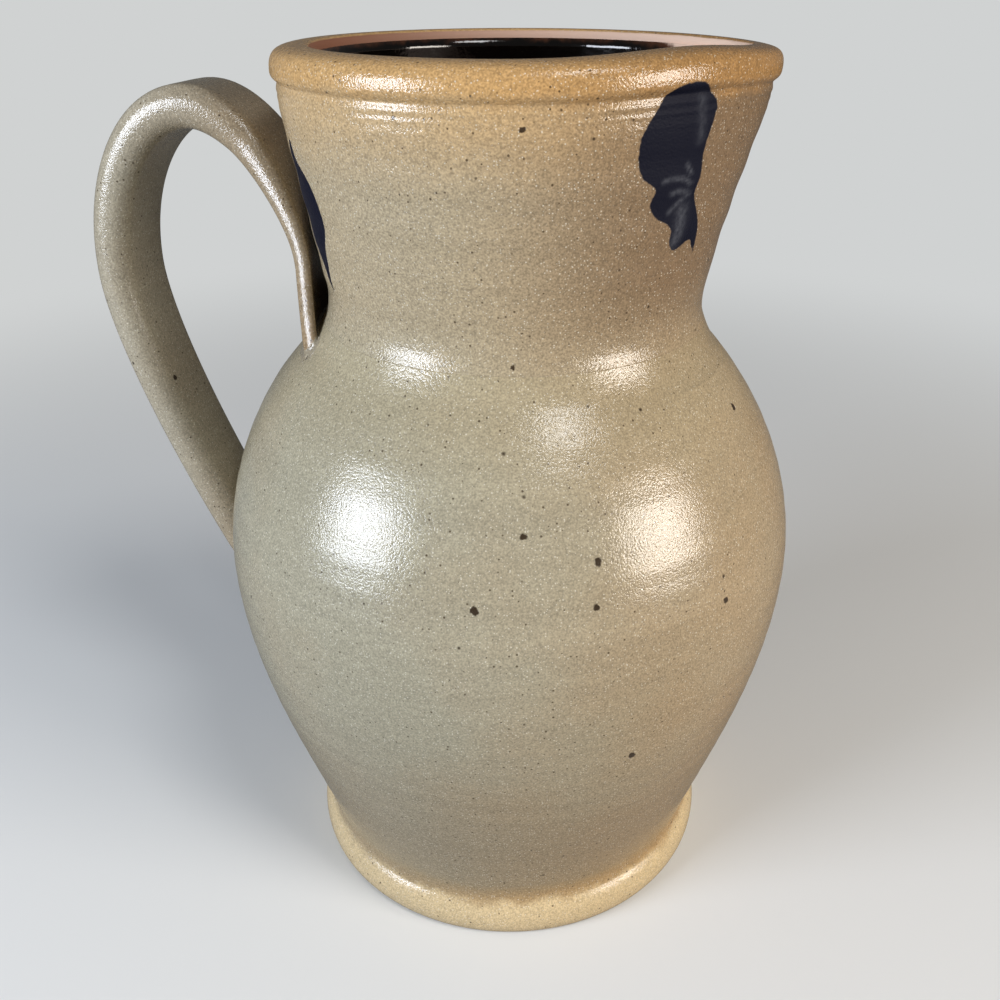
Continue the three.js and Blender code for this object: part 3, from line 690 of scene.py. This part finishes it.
# cobalt dabs as outlines of (azimuth in degrees, height in mm); the far side of the pot has the mirror pair
dabs = [
    [(-41.5, 223.7), (-38.0, 223.7), (-35.0, 222.2), (-32.0, 219.5), (-32.0, 217.0), (-32.9, 211.2),
     (-32.0, 205.5), (-32.5, 201.5), (-29.6, 197.3), (-27.4, 193.0), (-26.2, 187.5), (-28.2, 189.6),
     (-30.2, 191.2), (-34.8, 189.5), (-37.4, 191.4), (-38.4, 195.0), (-43.3, 197.6), (-45.8, 200.4),
     (-45.2, 203.6), (-49.0, 206.2), (-50.8, 210.0), (-50.8, 214.4), (-48.3, 218.7), (-45.4, 222.4)],
    [(-146.0, 209.5), (-143.8, 205.4), (-138.2, 201.5), (-134.3, 196.5), (-134.5, 191.9), (-137.6, 186.0),
     (-140.0, 180.2), (-139.9, 175.8), (-144.0, 180.5), (-149.0, 187.0), (-152.0, 196.0), (-150.0, 206.0)],
]
# lines where the brush left the cobalt thin: points, half width in mm, strength
brushLines = [
    ([(-36.8, 220.5), (-36.0, 217.5), (-35.0, 212.7)], 1.0, 0.4),
    ([(-43.2, 205.1), (-40.7, 205.5), (-37.7, 205.2), (-34.7, 203.8)], 0.5, 0.75),
    ([(-40.2, 202.4), (-37.7, 202.6), (-34.6, 201.6)], 0.6, 0.7),
    ([(-36.0, 200.9), (-37.7, 199.9), (-39.6, 198.5)], 0.6, 0.7),
    ([(-37.3, 208.0), (-35.4, 205.8)], 0.45, 0.8),
    ([(-35.4, 198.2), (-35.1, 194.6), (-35.7, 191.8)], 1.7, 0.7),
]
# mm on the opened-out neck: width of a degree, a place clear of all paint, and where the bore lies
brushing = dict(degreeWidth=0.94, clear=20.0, boreInset=3.0, boreBelow=220.0, steps=8)


# (azimuth, height) as lengths on the opened-out neck
def openedOut(points):
    return np.array(points) * (brushing["degreeWidth"], 1.0)


# closed curve through the outline's corners
def rounded(corners):
    t = np.linspace(0, 1, brushing["steps"], endpoint=False)[:, None]
    before, after, beyond = (np.roll(corners, shift, 0) for shift in (1, -1, -2))
    runs = []
    for p, q, r, s in zip(before, corners, after, beyond):
        bow = 2 * p - 5 * q + 4 * r - s
        twist = 3 * q - p - 3 * r + s
        runs.append(0.5 * (2 * q + (r - p) * t + bow * t ** 2 + twist * t ** 3))
    return np.vstack(runs)


def lineDistance(spots, start, stop):
    along = stop - start
    t = np.clip(((spots - start) @ along) / (along @ along), 0, 1)[:, None]
    return np.linalg.norm(spots - start - t * along, axis=1)


# distance to a closed outline, below zero inside it
def outlineDistance(spots, outline):
    nearest = np.full(len(spots), np.inf)
    inside = np.zeros(len(spots), bool)
    for start, stop in zip(outline, np.roll(outline, -1, 0)):
        along = stop - start
        nearest = np.minimum(nearest, lineDistance(spots, start, stop))
        crosses = (start[1] > spots[:, 1]) != (stop[1] > spots[:, 1])
        if along[1] != 0:
            inside ^= crosses & (spots[:, 0] < start[0] + (spots[:, 1] - start[1]) * along[0] / along[1])
    return np.where(inside, -nearest, nearest)


spots, azimuth = spotsOf(collar)
flat = openedOut(np.column_stack([-np.abs(azimuth), spots[:, 2]]))
cobalt = np.full(len(spots), brushing["clear"])
for dab in dabs:
    cobalt = np.minimum(cobalt, outlineDistance(flat, rounded(openedOut(dab))))
thinned = np.zeros(len(spots))
for line, reach, strength in brushLines:
    stops = openedOut(line)
    for start, stop in zip(stops[:-1], stops[1:]):
        thinned = np.maximum(thinned, strength * np.exp(-(lineDistance(flat, start, stop) / reach) ** 2))
wallAt = radiusAt(outside, spots[:, 2])
inBore = np.hypot(spots[:, 0], spots[:, 1]) < wallAt - brushing["boreInset"]
cobalt[inBore & (spots[:, 2] < brushing["boreBelow"])] = brushing["clear"]
carry(collar, "cobalt", cobalt)
carry(collar, "thinned", thinned)
place(collar, "neck_collar")

# seam: slip squeezed between the belly and the collar, just below their surfaces, mm
seamShape = dict(inside=42.2, below=0.03, around=160)
seamFace = seamLow[0] - seamShape["below"]
seamPoints = np.array([
    (seamShape["inside"], seamLow[1]), (seamFace, seamLow[1]), (seamFace, seamHigh[1]),
    (seamShape["inside"], seamHigh[1]), (seamShape["inside"], seamLow[1])])
seam = throwPiece("seam_slip", seamPoints, {}, {
    **plainWall, "Around": seamShape["around"], "Material": lutingGlaze})
place(seam, "collar_luting")

# lining: a thin coat over floor, belly and bore, its edge lowest under the spout; mm and degrees
liningShape = dict(inset=0.3, thickness=0.8, top=225.8, throat=165.0, edge=227.4, edgeDrop=16.0,
                   edgeSpread=30.0, floorSteps=6, around=160)
n = liningShape
coated = np.vstack([np.linspace((0.0, b["floor"]), inner[-1], n["floorSteps"]), inner[-2::-1], bore[::-1]])
brim = (radiusAt(bore[::-1], n["top"]), n["top"])
coated = np.vstack([coated[coated[:, 1] < n["top"]], [brim]])
along = unit(np.gradient(coated, axis=0))
inward = np.column_stack([-along[:, 1], along[:, 0]])
liningPoints = np.vstack([
    coated + inward * n["inset"], (coated + inward * (n["inset"] + n["thickness"]))[::-1]])
lining = throwPiece("slip_coat", liningPoints, dict(depth=(liningPoints[:, 1] > n["throat"]) * 1.0), {
    **plainWall, "Around": n["around"], "Material": liningGlaze})
spots, azimuth = spotsOf(lining)
edgeHeight = n["edge"] - n["edgeDrop"] * np.exp(-(azimuth / n["edgeSpread"]) ** 2)
carry(lining, "glazeEdge", spots[:, 2] - edgeHeight)
place(lining, "slip_lining")

# handle, mm: the path runs in the X Z plane from the shoulder up, over and down to the belly
strapShape = dict(
    rootWidth=61.0, width=22.5, spreadLength=60.0, spreadFall=1.3, curlEnd=0.5, edgeSwing=0.2,
    leastBend=1e-5, rootDepth=4.4, archDepth=11.0, tailDepth=11.0, rootCorner=2.0, archCorner=5.0,
    gripCorner=5.4, flatness=3.0, groove=0.06, sides=96,
    root=51.4, rootLow=149.5, riserTop=176.0, riserRound=0.45, archTop=212.9, archRound=0.54,
    grip=106.5, gripAt=170.0, gripEase=16.0, tail=(81.0, 91.0), tailEase=34.0, tailAngle=25.0,
    landing=[(77.9, 84.33), (72.87, 78.67), (65.9, 74.0)],
    steps=dict(riser=30, archUp=36, archDown=40, grip=56, landing=18),
)
s = strapShape
steps = s["steps"]
arch = (s["root"] + s["grip"]) / 2
slant = math.radians(s["tailAngle"])
riserLead = s["riserTop"] + (s["archTop"] - s["riserTop"]) * s["riserRound"]
gripLead = s["gripAt"] + (s["archTop"] - s["gripAt"]) * s["archRound"]
tailLead = np.array(s["tail"]) + np.array([math.sin(slant), math.cos(slant)]) * s["tailEase"]
riser = np.linspace((s["root"], s["rootLow"]), (s["root"], s["riserTop"]), steps["riser"])
archUp = bezier(riser[-1], (s["root"], riserLead),
                (arch + (s["root"] - arch) * s["riserRound"], s["archTop"]), (arch, s["archTop"]),
                steps["archUp"])
archDown = bezier(archUp[-1], (arch + (s["grip"] - arch) * s["archRound"], s["archTop"]),
                  (s["grip"], gripLead), (s["grip"], s["gripAt"]), steps["archDown"])
grip = bezier(archDown[-1], (s["grip"], s["gripAt"] - s["gripEase"]), tailLead, s["tail"], steps["grip"])
landing = bezier(grip[-1], *s["landing"], steps["landing"])
path, pathOwner = join([("riser", riser), ("archUp", archUp), ("archDown", archDown), ("grip", grip),
                        ("landing", landing)])
path = np.column_stack([-path[:, 0], np.zeros(len(path)), path[:, 1]])
run = np.concatenate([[0], np.cumsum(np.linalg.norm(np.diff(path, axis=0), axis=1))])
ends = {label: run[np.nonzero(pathOwner == label)[0][-1]] for label in np.unique(pathOwner)}
upArch = smooth(run, ends["riser"], ends["archUp"])
depth = s["rootDepth"] + (s["archDepth"] - s["rootDepth"]) * upArch
depth += (s["tailDepth"] - s["archDepth"]) * smooth(run, ends["archDown"], ends["landing"])
corner = s["rootCorner"] + (s["archCorner"] - s["rootCorner"]) * upArch
corner += (s["gripCorner"] - s["archCorner"]) * smooth(run, ends["archUp"], ends["archDown"])
spreadLeft = np.clip(1 - run / s["spreadLength"], 0, 1)
width = s["width"] + (s["rootWidth"] - s["width"]) * spreadLeft ** s["spreadFall"]
bend = np.maximum(smooth(spreadLeft, 0, s["curlEnd"]) / s["root"], s["leastBend"])
tangent = unit(np.gradient(path, run, axis=0))
outward = np.column_stack([tangent[:, 2], np.zeros(len(path)), -tangent[:, 0]])
closed = np.ones(len(path))
closed[[0, -1]] = 0.0
strap = outlineObject("pulled_strap", path, dict(
    outward=outward, halfWidth=width / 2 * closed * mm, halfDepth=depth / 2 * closed * mm,
    corner=corner * closed * mm, bend=bend / mm))
shape(strap, strapTree(), {"Sides": s["sides"], "Flatness": s["flatness"], "Finger Groove": s["groove"],
                           "Edge Swing": s["edgeSwing"], "Material": handleGlaze})
place(strap, "strap_handle")


# a point on the strap's skin: run along the path, and turn round the section
def strapSkin(length, turn):
    half = np.array([np.interp(length, run, width), np.interp(length, run, depth)]) / 2
    ways = np.array([np.cos(turn), np.sin(turn)])
    bevel = np.interp(length, run, corner)
    across, out = np.clip(ways * s["flatness"], -1, 1) * (half - bevel) + ways * bevel
    out -= s["groove"] * max(out, 0) * (1 - (across / half[0]) ** 2) ** 2
    middle = np.array([np.interp(length, run, path[:, i]) for i in range(3)])
    way = np.array([np.interp(length, run, outward[:, i]) for i in range(3)])
    curve = np.interp(length, run, bend)
    angle = across * curve
    step = np.array([(1 - np.cos(angle)) / curve, np.sin(angle) / curve, 0.0])
    swing = angle * s["edgeSwing"]
    facing = np.array([way[0] * np.cos(swing), way[0] * np.sin(swing), way[2]])
    return middle + step + facing * out


potOutside = np.vstack([outerWall, outside[1:]])


# the pot's middle and outer radius at a height
def potAt(height):
    middle = handLengths["Lean"] * smooth(height, handLengths["Lean Low"], handLengths["Lean High"])
    return middle, radiusAt(potOutside, height)


# how far a point is out from the pot's face, measured level
def overPot(point):
    middle, radius = potAt(point[2])
    return np.hypot(point[0] - middle, point[1]) - radius


def ontoPot(point, sink):
    middle, radius = potAt(point[2])
    way = np.array([point[0] - middle, point[1]])
    way *= (radius - sink) / np.linalg.norm(way)
    return np.array([way[0] + middle, way[1], point[2]])


# slip where the strap meets the pot, mm; the toe is a share of how far it reaches
filletShape = dict(around=72, tries=160, rows=7, sink=0.8, toe=0.6, heel=1.2, skin=0.9)


# a fillet of slip round the end of the strap: from the strap's skin down onto the pot
def fillet(name, start, stop, up, out):
    f = filletShape
    count = f["around"]
    ring = []
    for turn in np.linspace(0, fullTurn, count, endpoint=False):
        tries = np.linspace(start, stop, f["tries"])
        over = np.array([overPot(strapSkin(t, turn)) for t in tries])
        below = np.nonzero(over < 0)[0]
        first = tries[below[0]] if len(below) else stop
        ring.append((first, turn))
    backward = np.sign(start - stop)
    meet = np.array([strapSkin(first, turn) for first, turn in ring])
    high = np.array([strapSkin(first + backward * up, turn) for first, turn in ring])
    along = np.roll(meet, -1, 0) - np.roll(meet, 1, 0)
    side = unit(np.cross(along, unit(meet * np.array([1, 1, 0]))))
    side *= np.sign(np.sum(side * (meet - meet.mean(0)), axis=1))[:, None]
    low = np.array([ontoPot(p, 0.0) for p in meet + side * out])
    buried = np.array([ontoPot(p, f["sink"]) for p in meet + side * out * f["toe"]])
    deepIn = np.array([ontoPot(p, f["sink"]) for p in meet - side * f["heel"]])
    shares = np.linspace(0, 1, f["rows"])
    levels = [high * (1 - t) ** 2 + 2 * meet * t * (1 - t) + low * t ** 2 for t in shares]
    levels += [buried, deepIn, high - side * f["skin"]]
    faces = []
    for level in range(len(levels)):
        above = (level + 1) % len(levels)
        for i in range(count):
            j = (i + 1) % count
            quad = (level * count + i, level * count + j, above * count + j, above * count + i)
            faces.append(quad if backward > 0 else quad[::-1])
    mesh = bpy.data.meshes.new(name)
    mesh.from_pydata([tuple(p * mm) for p in np.vstack(levels)], [], faces)
    mesh.shade_smooth()
    mesh.materials.append(lutingGlaze)
    return linked(name, mesh)


tailLength = 30.0  # how far up the grip the lower joint is looked for, mm
upperFillet = fillet("shoulder_joint", ends["riser"], 0.0, up=1.6, out=1.3)
place(upperFillet, "upper_handle_luting")
lowerFillet = fillet("belly_joint", ends["grip"] - tailLength, ends["landing"], up=2.0, out=1.8)
place(lowerFillet, "lower_handle_luting")

# floor: pale matt board that fades into the pale background, mm
backdropTint = "#d0d2d2"
floorShape = dict(half=3000.0, fadeStart=200.0, fadeEnd=700.0, shown="#dfe1e1", lit="#8f8f8d")
floorMaterial, add, point = newMaterial("paleBoard")
seen = add("LightPath").outputs["Is Camera Ray"]
board = add("Mix", data_type="RGBA", links={
    "Factor": seen, "A": hexColor(floorShape["lit"]), "B": hexColor(floorShape["shown"])})
paper = add("BsdfDiffuse", {"Color": board})
far = add("VectorMath", {0: point}, operation="LENGTH")
fade = add("MapRange", {
    "Value": far, "From Min": floorShape["fadeStart"], "From Max": floorShape["fadeEnd"]},
    interpolation_type="SMOOTHSTEP")
glow = add("Emission", {"Color": hexColor(backdropTint), "Strength": 1.0})
share = add("Math", {0: fade, 1: seen}, operation="MULTIPLY")
mix = add("MixShader", {0: share, 1: paper, 2: glow})
add("OutputMaterial", {"Surface": mix})
half = floorShape["half"] * mm
floorMesh = bpy.data.meshes.new("floor")
corners = [(-half, -half, 0), (half, -half, 0), (half, half, 0), (-half, half, 0)]
floorMesh.from_pydata(corners, [], [(0, 1, 2, 3)])
floorMesh.materials.append(floorMaterial)
floor = linked("floor", floorMesh)

# surroundings: pale to the camera, a dim even room to the pot
roomLight = 0.11
world = bpy.data.worlds.new("room")
world.use_nodes = True
world.node_tree.nodes.clear()
add = partial(addNode, world.node_tree)
room = add("Background", {"Color": hexColor("#ffffff"), "Strength": roomLight})
backdrop = add("Background", {"Color": hexColor(backdropTint), "Strength": 1.0})
seen = add("LightPath").outputs["Is Camera Ray"]
mix = add("MixShader", {0: seen, 1: room, 2: backdrop})
add("OutputWorld", {"Surface": mix})
bpy.context.scene.world = world

# two broad windows and a weak lamp above, in metres and watts; angles are seen from the middle of the pot
potMiddle = Vector((0, 0, 0.12))
lamps = [
    dict(name="coolWindow", azimuth=-137, elevation=13, distance=1.0, width=0.46, height=0.42, power=12.0,
         tint="#eef4ff"),
    dict(name="warmWindow", azimuth=-18, elevation=11, distance=1.0, width=0.46, height=0.4, power=10.0,
         tint="#fff5ea"),
    dict(name="overhead", azimuth=-43, elevation=55, distance=1.2, width=0.3, height=0.3, power=3.6,
         tint="#ffffff"),
]
for lamp in lamps:
    data = bpy.data.lights.new(lamp["name"], "AREA")
    data.shape = "RECTANGLE"
    data.size = lamp["width"]
    data.size_y = lamp["height"]
    data.energy = lamp["power"]
    data.color = hexColor(lamp["tint"])[:3]
    light = linked(lamp["name"], data)
    turn = math.radians(lamp["azimuth"])
    tilt = math.radians(lamp["elevation"])
    toward = Vector((math.cos(turn) * math.cos(tilt), math.sin(turn) * math.cos(tilt), math.sin(tilt)))
    light.location = potMiddle + toward * lamp["distance"]
    light.rotation_euler = toward.to_track_quat("Z", "Y").to_euler()

# camera at the photographer's place: above the front, handle to the left; mm and degrees
view = dict(place=(52.3, -245.9, 244.2), pitch=28.36, turn=12.0, lens=36.0, sensor=36.0, shift=-0.0095,
            near=10.0)
camera = bpy.data.cameras.new("camera")
camera.lens = view["lens"]
camera.sensor_width = view["sensor"]
camera.shift_x = view["shift"]
camera.clip_start = view["near"] * mm
viewer = linked("camera", camera)
viewer.location = Vector(view["place"]) * mm
viewer.rotation_euler = (math.radians(90 - view["pitch"]), 0, math.radians(view["turn"]))
bpy.context.scene.camera = viewer
bpy.context.scene.view_settings.view_transform = "Standard"
print("stage ready")
